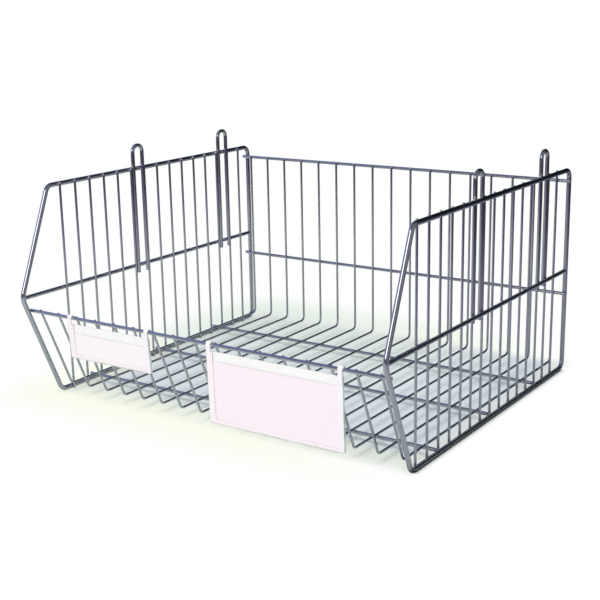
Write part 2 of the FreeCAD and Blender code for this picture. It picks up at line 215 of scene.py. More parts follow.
wire_tree, given, made = new_tree(
    "bent_wire", "GeometryNodeTree",
    [("Route", "Geometry"), ("Wire diameter", "Float", 0.005), ("Sides", "Int", 16),
     ("Steps in a bend", "Int", 8), ("Finish", "Material")],
    [("Wire", "Geometry")])
line = put(wire_tree, "GeometryNodeMeshToCurve", {"Mesh": given["Route"]})
bent = put(wire_tree, "GeometryNodeFilletCurve",
           {"Curve": line.outputs[0], "Radius": stored(wire_tree, "bend"),
            "Count": given["Steps in a bend"]}, mode="POLY")
travelled = put(wire_tree, "GeometryNodeSplineParameter").outputs["Length"]
section = put(wire_tree, "GeometryNodeCurvePrimitiveCircle",
              {"Resolution": given["Sides"], "Radius": 1.0}, mode="RADIUS")
section_place = put(wire_tree, "GeometryNodeInputPosition").outputs[0]
radius = maths(wire_tree, "MULTIPLY", given["Wire diameter"], 0.5)
tube = put(wire_tree, "GeometryNodeCurveToMesh",
           {"Curve": store(wire_tree, bent.outputs[0], "along", travelled),
            "Profile Curve": store(wire_tree, section.outputs["Curve"], "around", section_place,
                                   "FLOAT_VECTOR"),
            "Scale": maths(wire_tree, "MULTIPLY", radius, stored(wire_tree, "thickness")),
            "Fill Caps": True})
around = parts(wire_tree, stored(wire_tree, "around", "FLOAT_VECTOR"))
spot = put(wire_tree, "ShaderNodeCombineXYZ", {0: maths(wire_tree, "MULTIPLY", around[0], radius),
                                               1: maths(wire_tree, "MULTIPLY", around[1], radius),
                                               2: stored(wire_tree, "along")})
placed = store(wire_tree, tube.outputs[0], "wire_coord", spot.outputs[0], "FLOAT_VECTOR")
edge_angle = put(wire_tree, "GeometryNodeInputMeshEdgeAngle").outputs["Unsigned Angle"]
rounded = put(wire_tree, "FunctionNodeCompare", {0: edge_angle, 1: SMOOTH_BELOW}, data_type="FLOAT",
              operation="LESS_THAN")
soft_faces = put(wire_tree, "GeometryNodeSetShadeSmooth",
                 {"Geometry": placed, "Shade Smooth": True}, domain="FACE")
soft = put(wire_tree, "GeometryNodeSetShadeSmooth",
           {"Geometry": soft_faces.outputs[0], "Shade Smooth": rounded.outputs[0]}, domain="EDGE")
whole = put(wire_tree, "GeometryNodeRealizeInstances", {0: soft.outputs[0]})
finished = put(wire_tree, "GeometryNodeSetMaterial",
               {"Geometry": whole.outputs[0], "Material": given["Finish"]})
wire_tree.links.new(finished.outputs[0], made[0])


def run_tree(piece, tree, inputs):
    """Runs a tree on an object and leaves the object with the plain mesh that comes out."""
    modifier = piece.modifiers.new(tree.name, "NODES")
    modifier.node_group = tree
    sockets = {socket.name: socket.identifier for socket in tree.interface.items_tree
               if socket.in_out == "INPUT"}
    for label, value in inputs.items():
        modifier[sockets[label]] = value
    scene_graph = bpy.context.evaluated_depsgraph_get()
    result = bpy.data.meshes.new_from_object(piece.evaluated_get(scene_graph),
                                             preserve_all_data_layers=True, depsgraph=scene_graph)
    piece.modifiers.clear()
    drawing = piece.data
    piece.data = result
    result.name = piece.name
    bpy.data.meshes.remove(drawing)


def new_piece(name, points, edges=(), faces=()):
    mesh = bpy.data.meshes.new(name)
    mesh.from_pydata(points, edges, faces)
    piece = bpy.data.objects.new(name, mesh)
    bpy.context.scene.collection.objects.link(piece)
    return piece


def mark_points(piece, label, numbers, kind="FLOAT"):
    """Stores a number, or with kind FLOAT_VECTOR three of them, at each point of a piece."""
    marks = piece.data.attributes.new(label, kind, "POINT")
    marks.data.foreach_set("value" if kind == "FLOAT" else "vector", numbers)


def bend_wires(name, routes, diameter, sides=16, steps=8):
    """One mesh of round wires, each following its route."""
    stops, edges = [], []
    for route, closed in routes:
        first = len(stops)
        stops += route
        edges += [(number, number + 1) for number in range(first, len(stops) - 1)]
        if closed:
            edges.append((len(stops) - 1, first))
    points, bends, thicknesses, heats = zip(*stops)
    piece = new_piece(name, points, edges)
    for label, numbers in (("bend", bends), ("thickness", thicknesses), ("heat", heats)):
        mark_points(piece, label, numbers)
    run_tree(piece, wire_tree, {"Wire diameter": diameter, "Sides": sides, "Steps in a bend": steps,
                                "Finish": plated_wire})
    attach(piece, "bin")
    return piece


def noise(tree, place, scale, detail, roughness):
    node = put(tree, "ShaderNodeTexNoise",
               {"Vector": place, "Scale": scale, "Detail": detail, "Roughness": roughness})
    return node.outputs["Fac"]


def blend(tree, factor, first, second):
    """The first colour where the factor is 0, and the second where it is 1."""
    # Sockets 6 and 7 are the pair that takes colours.
    return put(tree, "ShaderNodeMix", {0: factor, 6: first, 7: second}, data_type="RGBA").outputs[2]


# The bright plate over drawn wire: faint draw lines along it, uneven brightness, and a dull bluish
# bloom where a weld has heated it.  The lines are noise that is drawn out along the wire: waves a
# metre round it (x and y) and along it (z).
DRAW_LINES = (2600.0, 2600.0, 22.0)
DRAW_DULLNESS = 0.06
MOTTLE_PER_METRE = 46.0
LEAST_BLOOM = 0.2

plating, given, made = new_tree(
    "plated_surface", "ShaderNodeTree",
    [("Wire place", "Vector"), ("Object place", "Vector"), ("Heat", "Float", 0.0),
     ("Bright", "Color", (0.60, 0.61, 0.64)), ("Bloom", "Color", (0.42, 0.43, 0.50)),
     ("Polish", "Float", 0.14), ("Unevenness", "Float", 0.10), ("Bloom dullness", "Float", 0.22)],
    [("Color", "Color"), ("Roughness", "Float"), ("Height", "Float")])
draw_lines = noise(plating, vector_maths(plating, "MULTIPLY", given["Wire place"], DRAW_LINES),
                   scale=1.0, detail=3.0, roughness=0.6)
mottle = noise(plating, given["Object place"], MOTTLE_PER_METRE, detail=4.0, roughness=0.55)
roughness = maths(plating, "MULTIPLY_ADD", maths(plating, "SUBTRACT", mottle, 0.5),
                  given["Unevenness"], given["Polish"])
roughness = maths(plating, "MULTIPLY_ADD", maths(plating, "SUBTRACT", draw_lines, 0.5),
                  DRAW_DULLNESS, roughness)
roughness = maths(plating, "MULTIPLY_ADD", given["Heat"], given["Bloom dullness"], roughness)
bloom_amount = maths(plating, "MULTIPLY", given["Heat"],
                     maths(plating, "MULTIPLY_ADD", mottle, 1 - LEAST_BLOOM, LEAST_BLOOM))
plating.links.new(blend(plating, bloom_amount, given["Bright"], given["Bloom"]), made["Color"])
plating.links.new(roughness, made["Roughness"])
plating.links.new(draw_lines, made["Height"])


def new_finish(name):
    finish = bpy.data.materials.new(name)
    finish.use_nodes = True
    tree = finish.node_tree
    tree.nodes.clear()
    shader = put(tree, "ShaderNodeBsdfPrincipled")
    put(tree, "ShaderNodeOutputMaterial", {"Surface": shader.outputs[0]})
    return finish, tree, shader


def mark_of(tree, name, output="Vector"):
    """What the mesh under a material stores under a name."""
    return put(tree, "ShaderNodeAttribute", attribute_name=name).outputs[output]


def lay_surface(tree, shader, group, values, bump_strength, bump_depth):
    """Gives a shader the colour, the roughness and the relief that a surface group makes."""
    place = put(tree, "ShaderNodeTexCoord").outputs["Object"]
    surface = put(tree, "ShaderNodeGroup", {"Object place": place, **values}, node_tree=group)
    relief = put(tree, "ShaderNodeBump", {"Strength": bump_strength, "Distance": bump_depth,
                                          "Height": surface.outputs["Height"]})
    tree.links.new(surface.outputs["Color"], shader.inputs["Base Color"])
    tree.links.new(surface.outputs["Roughness"], shader.inputs["Roughness"])
    tree.links.new(relief.outputs[0], shader.inputs["Normal"])


plated_wire, tree, shader = new_finish("plated_wire")
lay_surface(tree, shader, plating,
            {"Wire place": mark_of(tree, "wire_coord"), "Heat": mark_of(tree, "heat", "Fac")},
            bump_strength=0.12, bump_depth=0.00005)
shader.inputs["Metallic"].default_value = 1.0

# Where other wires cross the frames.
INFILL_COUNT = 15
INFILL_START = 0.020
INFILL_END = 0.0356
LOOP_WIRE = 0.006
BASE_WIRES = ("front", "middle", "rear")


def middle_of(node):
    low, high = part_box(node)
    return (low + high) / 2


def frame_point(side, y, z):
    return Vector((FRAME_X * side, y, z))


infill_pitch = (FRAME_DEPTH - INFILL_START - INFILL_END) / (INFILL_COUNT - 1)
infill_ys = [front_y + INFILL_START + infill_pitch * number for number in range(INFILL_COUNT)]
loop_ys = []
for end in ("front", "rear"):
    low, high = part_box(f"left_{end}_stacking_loop")
    loop_ys += [low.y + LOOP_WIRE / 2, high.y - LOOP_WIRE / 2]
base_wires = [middle_of(f"{end}_base_cross_wire") for end in BASE_WIRES]
back_rails = [middle_of("back_top_rail"), middle_of("back_mid_rail")]
front_rail = middle_of("front_rail")
slant = NOSE_REACH / NOSE_HEIGHT
front_weld_y = front_y - slant * (front_rail.z - bottom_z)

# Each wire that rests on the frames, with the y and z of the frame's wire there.
rests = [(wire, (wire.y, bottom_z)) for wire in base_wires]
rests += [(rail, (rear_y, rail.z)) for rail in back_rails]
rests.append((front_rail, (front_weld_y, front_rail.z)))

for name, side in SIDES.items():
    corners = [(frame_point(side, front_y, bottom_z), FRAME_BEND),
               (frame_point(side, rear_y, bottom_z), FRAME_BEND),
               (frame_point(side, rear_y, top_z), FRAME_BEND),
               (frame_point(side, front_y, top_z), FRAME_BEND),
               (frame_point(side, nose_y, nose_z), NOSE_BEND)]
    welds = [frame_point(side, y, bottom_z) for y in infill_ys]
    welds += [frame_point(side, y, top_z) for y in infill_ys + loop_ys]
    welds += [frame_point(side, *spot) for _, spot in rests]
    welds.append(frame_point(side, rear_y, nose_z))
    ring = bend_wires(f"{name}_ring", [wire_route(corners, welds, closed=True)], FRAME_WIRE,
                      sides=24, steps=14)
    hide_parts(f"{name}_side_frame")


# -----------------------------------------------------------------------------
# Mid rails: a straight 6 mm wire in each side frame, cut square and butt-welded between the hollow
# of the nose and the rear upright.
# -----------------------------------------------------------------------------

MID_RAIL_WIRE = 0.006

for name, side in SIDES.items():
    low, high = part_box(f"{name}_side_mid_rail")
    ends = [(frame_point(side, y, nose_z), 0.0) for y in (low.y, high.y)]
    welds = [frame_point(side, y, nose_z) for y in [low.y] + infill_ys + loop_ys + [high.y]]
    mid_rail = bend_wires(f"{name}_mid_rail", [wire_route(ends, welds)], MID_RAIL_WIRE, sides=20)
    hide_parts(f"{name}_side_mid_rail")


# -----------------------------------------------------------------------------
# Side infill: fifteen upright 3.5 mm wires a side, cropped to length and spot-welded to the inner
# side of the frame's top and bottom runs, and to the mid rail as they pass it.
# -----------------------------------------------------------------------------

INFILL_WIRE = 0.0035
infill_x = middle_of("right_infill_wires_1").x

for name, side in SIDES.items():
    low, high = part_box(f"{name}_infill_wires_1")
    routes = []
    for y in infill_ys:
        ends = [(Vector((infill_x * side, y, z)), 0.0) for z in (low.z, high.z)]
        welds = [Vector((infill_x * side, y, z)) for z in (bottom_z, nose_z, top_z)]
        routes.append(wire_route(ends, welds))
    infill = bend_wires(f"{name}_infill", routes, INFILL_WIRE)
    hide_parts(*[f"{name}_infill_wires_{number}" for number in range(1, 6)])


# -----------------------------------------------------------------------------
# Stacking loops: two 6 mm hairpins a side, welded to the mid rail and the top run.  They stand
# proud of the frame and locate the skids of the bin above.
# -----------------------------------------------------------------------------

LOOP_FLAT = 0.002

for name in SIDES:
    for end in ("front", "rear"):
        low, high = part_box(f"{name}_{end}_stacking_loop")
        x = (low.x + high.x) / 2
        legs = [low.y + LOOP_WIRE / 2, high.y - LOOP_WIRE / 2]
        crown = (legs[1] - legs[0] - LOOP_FLAT) / 2
        head_z = high.z - LOOP_WIRE / 2
        corners = [(Vector((x, legs[0], low.z)), 0.0), (Vector((x, legs[0], head_z)), crown),
                   (Vector((x, legs[1], head_z)), crown), (Vector((x, legs[1], low.z)), 0.0)]
        welds = [Vector((x, y, z)) for y in legs for z in (nose_z, top_z)]
        loop = bend_wires(f"{name}_{end}_hairpin", [wire_route(corners, welds)], LOOP_WIRE,
                          sides=20, steps=14)
        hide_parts(f"{name}_{end}_stacking_loop")


# -----------------------------------------------------------------------------
# Rails: three straight 5 mm wires across the bin, welded to the inner side of the frames' rear
# uprights and lower slants.  They carry the basket wires, and the front one the ticket holders.
# -----------------------------------------------------------------------------

RAIL_WIRE = 0.005
BASKET_COUNT = 17
BASKET_MARGIN = 0.0152
basket_pitch = (2 * FRAME_X - 2 * BASKET_MARGIN) / (BASKET_COUNT - 1)
basket_xs = [basket_pitch * (number - (BASKET_COUNT - 1) / 2) for number in range(BASKET_COUNT)]


def lay_across(node, name):
    """A straight wire along the width of the bin, in place of a node."""
    low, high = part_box(node)
    middle = middle_of(node)
    ends = [(Vector((x, middle.y, middle.z)), 0.0) for x in (low.x, high.x)]
    welds = [Vector((x, middle.y, middle.z)) for x in [-FRAME_X] + basket_xs + [FRAME_X]]
    wire = bend_wires(name, [wire_route(ends, welds)], RAIL_WIRE, sides=18)
    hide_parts(node)


lay_across("back_top_rail", "top_back_wire")
lay_across("back_mid_rail", "middle_back_wire")
lay_across("front_rail", "lip_wire")


# -----------------------------------------------------------------------------
# Base cross wires: three straight 5 mm wires under the floor, lying on the frames' bottom runs and
# spot-welded to them.  They carry the floor of the basket.
# -----------------------------------------------------------------------------

for end in BASE_WIRES:
    lay_across(f"{end}_base_cross_wire", f"{end}_floor_bearer")


# -----------------------------------------------------------------------------
# Basket wires: seventeen 3.5 mm wires, each bent to a U that makes the back, the floor and the
# slanted front lip, and spot-welded to every rail and cross wire that it passes.
# -----------------------------------------------------------------------------

BASKET_WIRE = 0.0035
BASKET_BEND = 0.008

low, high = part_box("basket_wire_01")
back_y = high.y - BASKET_WIRE / 2
floor_z = low.z + BASKET_WIRE / 2
lean = math.atan(slant)
rail_gap = (RAIL_WIRE + BASKET_WIRE) / 2
tip_y = front_rail.y + rail_gap * math.cos(lean)
tip_z = front_rail.z + rail_gap * math.sin(lean)
foot_y = tip_y + slant * (tip_z - floor_z)

# Each rail that a basket wire passes, with the y and z of the basket wire there.
passes = [(rail, (back_y, rail.z)) for rail in back_rails]
passes.append((front_rail, (tip_y, tip_z)))
passes += [(wire, (wire.y, floor_z)) for wire in base_wires]

for number, x in enumerate(basket_xs, start=1):
    corners = [(Vector((x, back_y, high.z)), 0.0), (Vector((x, back_y, floor_z)), BASKET_BEND),
               (Vector((x, foot_y, floor_z)), BASKET_BEND), (Vector((x, tip_y, tip_z)), 0.0)]
    welds = [Vector((x, *spot)) for _, spot in passes]
    wire = bend_wires(f"basket_wire_{number:02d}_bent", [wire_route(corners, welds)], BASKET_WIRE,
                      sides=14)
    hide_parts(f"basket_wire_{number:02d}")


# -----------------------------------------------------------------------------
# Welds: a small squashed nugget of steel wherever two wires cross, and a larger one where a mid rail
# butts against its frame.  They were pressed while hot and plated with the rest.
# -----------------------------------------------------------------------------

NUGGET_LENGTH = 0.0017
NUGGET_THICKNESS = 0.0009
BASKET_GROWTH = 0.85
INFILL_GROWTH = 0.9
RAIL_GROWTH = 1.1
BUTT_GROWTH = 1.9
SEEDS = {"left": 7, "right": 11, "basket": 19}

# Sets a squashed sphere at each point, turned to the line between the two wires' axes.
weld_tree, given, made = new_tree(
    "weld_nuggets", "GeometryNodeTree",
    [("Places", "Geometry"), ("Length", "Float", NUGGET_LENGTH),
     ("Thickness", "Float", NUGGET_THICKNESS), ("Unevenness", "Float", 0.18), ("Seed", "Int", 0),
     ("Finish", "Material")],
    [("Nuggets", "Geometry")])


def uneven_length(base, seed_step):
    spread = maths(weld_tree, "MULTIPLY", base, given["Unevenness"])
    chance = put(weld_tree, "FunctionNodeRandomValue",
                 {"Min": -1.0, "Max": 1.0, "Seed": maths(weld_tree, "ADD", given["Seed"], seed_step)},
                 data_type="FLOAT")
    length = maths(weld_tree, "MULTIPLY_ADD", chance.outputs[1], spread, base)
    return maths(weld_tree, "MULTIPLY", length, stored(weld_tree, "growth"))


spots = put(weld_tree, "GeometryNodeMeshToPoints", {"Mesh": given["Places"]}, mode="VERTICES")
ball = put(weld_tree, "GeometryNodeMeshUVSphere", {"Segments": 8, "Rings": 5, "Radius": 1.0})
turned = put(weld_tree, "FunctionNodeAlignRotationToVector",
             {"Vector": stored(weld_tree, "pressed", "FLOAT_VECTOR")}, axis="Z")
size = put(weld_tree, "ShaderNodeCombineXYZ", {0: uneven_length(given["Length"], 0.0),
                                               1: uneven_length(given["Length"], 1.0),
                                               2: uneven_length(given["Thickness"], 2.0)})
nuggets = put(weld_tree, "GeometryNodeInstanceOnPoints",
              {"Points": spots.outputs[0], "Instance": ball.outputs["Mesh"],
               "Rotation": turned.outputs[0], "Scale": size.outputs[0]})
whole = put(weld_tree, "GeometryNodeRealizeInstances", {0: nuggets.outputs[0]})
heated = store(weld_tree, whole.outputs[0], "heat", 1.0)
here = put(weld_tree, "GeometryNodeInputPosition").outputs[0]
soft = put(weld_tree, "GeometryNodeSetShadeSmooth",
           {"Geometry": store(weld_tree, heated, "wire_coord", here, "FLOAT_VECTOR"),
            "Shade Smooth": True}, domain="FACE")
finished = put(weld_tree, "GeometryNodeSetMaterial",
               {"Geometry": soft.outputs[0], "Material": given["Finish"]})
weld_tree.links.new(finished.outputs[0], made[0])


def weld(name, crossings, seed):
    """Nuggets at crossings, each given as (first axis point, its radius, second axis point, growth)."""
    places, directions, sizes = [], [], []
    for first, first_radius, second, growth in crossings:
        direction = (second - first).normalized()
        places.append(first + direction * first_radius)
        directions += list(direction)
        sizes.append(growth)
    piece = new_piece(name, places)
    mark_points(piece, "pressed", directions, "FLOAT_VECTOR")
    mark_points(piece, "growth", sizes)
    run_tree(piece, weld_tree, {"Length": NUGGET_LENGTH, "Thickness": NUGGET_THICKNESS, "Seed": seed,
                                "Finish": plated_wire})
    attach(piece, "bin")


for name, side in SIDES.items():
    loop_x = middle_of(f"{name}_front_stacking_loop").x
    crossings = []
    for z, radius in ((bottom_z, FRAME_WIRE / 2), (nose_z, MID_RAIL_WIRE / 2), (top_z, FRAME_WIRE / 2)):
        crossings += [(frame_point(side, y, z), radius, Vector((infill_x * side, y, z)), INFILL_GROWTH)
                      for y in infill_ys]
        if z > bottom_z:
            crossings += [(frame_point(side, y, z), radius, Vector((loop_x, y, z)), RAIL_GROWTH)
                          for y in loop_ys]
    low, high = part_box(f"{name}_side_mid_rail")
    butts = [frame_point(side, y, nose_z) for y in (low.y, high.y)]
    crossings += [(butts[0], 0.0, butts[1], BUTT_GROWTH), (butts[1], 0.0, butts[0], BUTT_GROWTH)]
    crossings += [(frame_point(side, *spot), FRAME_WIRE / 2, frame_point(side, wire.y, wire.z),
                   RAIL_GROWTH) for wire, spot in rests]
    weld(f"{name}_side_welds", crossings, SEEDS[name])

weld("basket_welds",
     [(Vector((x, rail.y, rail.z)), RAIL_WIRE / 2, Vector((x, *spot)), BASKET_GROWTH)
      for x in basket_xs for rail, spot in passes], SEEDS["basket"])


# -----------------------------------------------------------------------------
# Ticket holders: two injection mouldings in white plastic, each a thin plate with a card slot that
# is open at the top and a lip round its other three sides.  A hook at each end hangs the holder over
# the front rail.
# -----------------------------------------------------------------------------

HANG_ANGLES = {"small": math.radians(3.75), "large": math.radians(2.15)}
PLATE_HEIGHTS = {"small": 0.0505, "large": 0.1005}
PLATE_TOP = -0.008
BACK_FACE = 0.0013
SLOT_BACK = 0.0025
SLOT_FRONT = 0.0036
LIP_FACE = 0.0045
POST = 0.007
LIP = 0.0025
POCKET_FLOOR = 0.003
HOOK_INNER = 0.0028
HOOK_TAIL = 0.003
HOOK_STEPS = 14
HOOKS_OVER = 0.020
CORNER_ROUND = 0.002
BOTTOM_ROUND = 0.0011
SAME_PLACE = 1e-5
NEAR_FOOT = 0.0005
THROUGH_PLATE = 0.002
SHARP = math.radians(40)
DEAD_FLAT = math.radians(1)
SQUARE_ON = 0.999


def hung(size, x, forward, height):
    """A point of a holder, from how far it lies forward of the rail's axis and above it."""
    angle = HANG_ANGLES[size]
    return Vector((x, front_rail.y - forward * math.cos(angle) - height * math.sin(angle),
                   front_rail.z - forward * math.sin(angle) + height * math.cos(angle)))


def mark_edges(piece, size, low_x, high_x, low_height, high_height):
    """Stores each point's distances to the piece's four sides and forward of the rail."""
    angle = HANG_ANGLES[size]
    sides, ends = [], []
    for vertex in piece.data.vertices:
        x, y, z = vertex.co - Vector((0, front_rail.y, front_rail.z))
        sides += [x - low_x, high_x - x, -y * math.cos(angle) - z * math.sin(angle)]
        height = z * math.cos(angle) - y * math.sin(angle)
        ends += [height - low_height, high_height - height, 0.0]
    mark_points(piece, "side_distances", sides, "FLOAT_VECTOR")
    mark_points(piece, "end_distances", ends, "FLOAT_VECTOR")


def skin(counts, filled, corner):
    """The walls round the filled cells of a grid, as one closed shape with its own corner places."""
    shape = bmesh.new()
    known = {}
    for cell in itertools.product(*map(range, counts)):
        if not filled(*cell):
            continue
        for axis, step in itertools.product(range(3), (0, 1)):
            beside = list(cell)
            beside[axis] += 1 if step else -1
            if filled(*beside):
                continue
            ring = []
            for first, second in ((0, 0), (1, 0), (1, 1), (0, 1)):
                spot = list(cell)
                spot[axis] += step
                spot[(axis + 1) % 3] += first
                spot[(axis + 2) % 3] += second
                spot = tuple(spot)
                if spot not in known:
                    known[spot] = shape.verts.new(corner(*spot))
                ring.append(known[spot])
            shape.faces.new(ring)
    bmesh.ops.recalc_face_normals(shape, faces=shape.faces)
    return shape


def edges_where(shape, test):
    return [edge for edge in shape.edges if test(*[vertex.co for vertex in edge.verts])]


def round_edges(shape, edges, radius, steps):
    """Rounds edges, and shades only the rounded strips smoothly, so that flat faces stay flat."""
    made = bmesh.ops.bevel(shape, geom=edges, offset=radius, offset_type="OFFSET", segments=steps,
                           profile=0.5, affect="EDGES", clamp_overlap=True)
    for face in made["faces"]:
        face.smooth = True


def mould_holder(size):
    node_low, node_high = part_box(f"{size}_ticket_holder")
    low_x, high_x = node_low.x, node_high.x
    bottom = PLATE_TOP - PLATE_HEIGHTS[size]

    # The grid.  Columns: post, lip, window, lip, post.  Layers: plate, two of slot, face.  Rows: floor,
    # lip, window, and above the plate the posts alone, which turn over the rail and end in a tail.
    columns = [low_x, low_x + POST, low_x + POST + LIP, high_x - POST - LIP, high_x - POST, high_x]
    layers = [BACK_FACE, SLOT_BACK, HOOK_INNER, SLOT_FRONT, LIP_FACE]
    rows = [("height", height) for height in
            (bottom, bottom + POCKET_FLOOR, bottom + POCKET_FLOOR + LIP, PLATE_TOP, 0.0)]
    rows += [("turn", math.pi * step / HOOK_STEPS) for step in range(1, HOOK_STEPS + 1)]
    rows.append(("tail", HOOK_TAIL))
    counts = (len(columns) - 1, len(layers) - 1, len(rows) - 1)

    def filled(column, layer, row):
        if not all(0 <= place < count for place, count in zip((column, layer, row), counts)):
            return False
        post = column in (0, 4)
        window = column == 2 and row == 2
        above_plate = row > 2
        plate = layer == 0
        face = layer == 3
        if above_plate:
            return post and layer > 1
        if face:
            return not window
        return plate or post or row == 0

    def corner(column, layer, row):
        kind, value = rows[row]
        forward = layers[layer]
        if kind == "height":
            return hung(size, columns[column], forward, value)
        if kind == "turn":
            return hung(size, columns[column], forward * math.cos(value), forward * math.sin(value))
        return hung(size, columns[column], -forward, -value)

    shape = skin(counts, filled, corner)
    bmesh.ops.dissolve_limit(shape, angle_limit=DEAD_FLAT, verts=shape.verts, edges=shape.edges)
    origin = hung(size, 0.0, 0.0, 0.0)
    square = [Vector((1, 0, 0)), hung(size, 0.0, 1.0, 0.0) - origin,
              hung(size, 0.0, 0.0, 1.0) - origin]
    for face in shape.faces:
        face.smooth = max(abs(face.normal.dot(way)) for way in square) < SQUARE_ON

    foot = hung(size, 0.0, LIP_FACE, bottom)
    foot_corners = edges_where(shape, lambda a, b: abs(a.x - b.x) < SAME_PLACE
                               and min(a.x - low_x, high_x - a.x) < SAME_PLACE
                               and max(a.z, b.z) < foot.z + NEAR_FOOT
                               and abs(a.y - b.y) > THROUGH_PLATE)
    round_edges(shape, foot_corners, CORNER_ROUND, steps=6)
    front_foot = edges_where(shape, lambda a, b: max(a.z, b.z) < foot.z + SAME_PLACE
                             and max(abs(a.y - foot.y), abs(b.y - foot.y)) < SAME_PLACE)
    round_edges(shape, front_foot, BOTTOM_ROUND, steps=4)
    # The two rounds meet at the corners of the foot, which leaves faces without area there.
    bmesh.ops.dissolve_degenerate(shape, dist=SAME_PLACE, edges=shape.edges)
    for edge in shape.edges:
        edge.smooth = edge.calc_face_angle_signed(0.0) < SHARP
    bmesh.ops.recalc_face_normals(shape, faces=shape.faces)
    piece = new_piece(f"{size}_holder", [])
    shape.to_mesh(piece.data)
    shape.free()
    mark_edges(piece, size, low_x, high_x, bottom, PLATE_TOP + HOOKS_OVER)
    piece.data.materials.append(white_plastic)
    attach(piece, f"{size}_ticket_holder")
    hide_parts(f"{size}_ticket_holder")


def fade(tree, value, start, end, low=0.0, high=1.0):
    """Goes smoothly from low at the start to high at the end, either way, and stays so beyond them."""
    node = put(tree, "ShaderNodeMapRange", {"Value": value, "From Min": start, "From Max": end,
                                            "To Min": low, "To Max": high},
               interpolation_type="SMOOTHSTEP")
    return node.outputs["Result"]


# What handling does to a pale surface: broad clouds between two shades, scuffs that dull it, and a
# fine grain for the bump.  Besides that, a greyer rim of painted shade along the edges, three times
# as wide along the bottom as elsewhere.
SCUFFS_PER_METRE = (60.0, 60.0, 900.0)
SCUFF_EDGES = (0.56, 0.72)
CLOUD_EDGES = (0.35, 0.68)
RIM_CLOUD_EDGES = (0.3, 0.7)
LEAST_RIM = 0.35
NARROWER = 3.0
RIM_DULLNESS = 0.12

handled_and_rim_shaded, given, made = new_tree(
    "handled_rim_shaded_surface", "ShaderNodeTree",
    [("Object place", "Vector"), ("Side distances", "Vector"), ("End distances", "Vector"),
     ("Clean", "Color", (0.9, 0.9, 0.9)), ("Clouded", "Color", (0.85, 0.85, 0.85)),
     ("Rim", "Color", (0.7, 0.7, 0.7)), ("Rim width", "Float", 0.001),
     ("Clouds per metre", "Float", 20.0), ("Grain per metre", "Float", 1500.0),
     ("Smoothness", "Float", 0.3), ("Scuffing", "Float", 0.1)],
    [("Color", "Color"), ("Roughness", "Float"), ("Height", "Float")])
clouds = noise(handled_and_rim_shaded, given["Object place"], given["Clouds per metre"], detail=4.0, roughness=0.5)
grain = noise(handled_and_rim_shaded, given["Object place"], given["Grain per metre"], detail=2.0, roughness=0.6)
scuffs = noise(handled_and_rim_shaded, vector_maths(handled_and_rim_shaded, "MULTIPLY", given["Object place"], SCUFFS_PER_METRE),
               scale=1.0, detail=3.0, roughness=0.65)
from_left, from_right = parts(handled_and_rim_shaded, given["Side distances"])[:2]
from_bottom, from_top = parts(handled_and_rim_shaded, given["End distances"])[:2]
nearest = maths(handled_and_rim_shaded, "MINIMUM", maths(handled_and_rim_shaded, "MINIMUM", from_left, from_right), from_top)
nearest = maths(handled_and_rim_shaded, "MINIMUM", from_bottom, maths(handled_and_rim_shaded, "MULTIPLY", nearest, NARROWER))
# The rim is painted shade along the edges, patchy with the clouds, and a little duller too.
rim_shade = maths(handled_and_rim_shaded, "MULTIPLY", fade(handled_and_rim_shaded, nearest, given["Rim width"], 0.0),
            fade(handled_and_rim_shaded, clouds, *RIM_CLOUD_EDGES, low=LEAST_RIM))
shade = blend(handled_and_rim_shaded, fade(handled_and_rim_shaded, clouds, *CLOUD_EDGES), given["Clean"], given["Clouded"])
dulled = maths(handled_and_rim_shaded, "MULTIPLY_ADD", fade(handled_and_rim_shaded, scuffs, *SCUFF_EDGES), given["Scuffing"],
               given["Smoothness"])
handled_and_rim_shaded.links.new(blend(handled_and_rim_shaded, rim_shade, shade, given["Rim"]), made["Color"])
handled_and_rim_shaded.links.new(maths(handled_and_rim_shaded, "MULTIPLY_ADD", rim_shade, RIM_DULLNESS, dulled), made["Roughness"])
handled_and_rim_shaded.links.new(grain, made["Height"])


def lay_handled_and_rim_shaded(tree, shader, values, bump_strength, bump_depth):
    marks = {"Side distances": mark_of(tree, "side_distances"),
             "End distances": mark_of(tree, "end_distances")}
    lay_surface(tree, shader, handled_and_rim_shaded, {**marks, **values}, bump_strength, bump_depth)


# The thin lips are a little frosted, so the card's tint shows in them.  Each shade is given for the
# plain plastic, the right lip and the other lips.
RIGHT_LIP_START = 0.75 * POST
FULLY_FROSTED = 0.0042
PLASTIC_SHADES = {"Clean": ((0.95, 0.96, 0.94), (0.94, 0.915, 0.965), (0.97, 0.90, 0.93)),
                  "Clouded": ((0.95, 0.94, 0.92), (0.93, 0.90, 0.96), (0.96, 0.895, 0.92))}

white_plastic, tree, shader = new_finish("white_plastic")
from_left, from_right, forward = parts(tree, mark_of(tree, "side_distances"))
frosted = fade(tree, forward, SLOT_BACK, FULLY_FROSTED)
off_right_lip = fade(tree, from_right, RIGHT_LIP_START, POST + LIP)
shades = {shade: blend(tree, frosted, plain, blend(tree, off_right_lip, right_lip, other_lips))
          for shade, (plain, right_lip, other_lips) in PLASTIC_SHADES.items()}
# The rim is a dark painted shade line along the holder's foot, and a thin one round its other edges.
lay_handled_and_rim_shaded(tree, shader, {**shades, "Rim": (0.44, 0.47, 0.40), "Rim width": 0.0030,
                           "Clouds per metre": 34.0, "Grain per metre": 900.0, "Smoothness": 0.26,
                           "Scuffing": 0.16}, bump_strength=0.10, bump_depth=0.00008)
shader.inputs["Coat Weight"].default_value = 0.15
shader.inputs["Coat Roughness"].default_value = 0.18

for size in ("small", "large"):
    mould_holder(size)


# -----------------------------------------------------------------------------
# Ticket cards: blank matt card, guillotined to size and dropped into the slots from above.  Each bows
# a little forward against the lips.
# -----------------------------------------------------------------------------

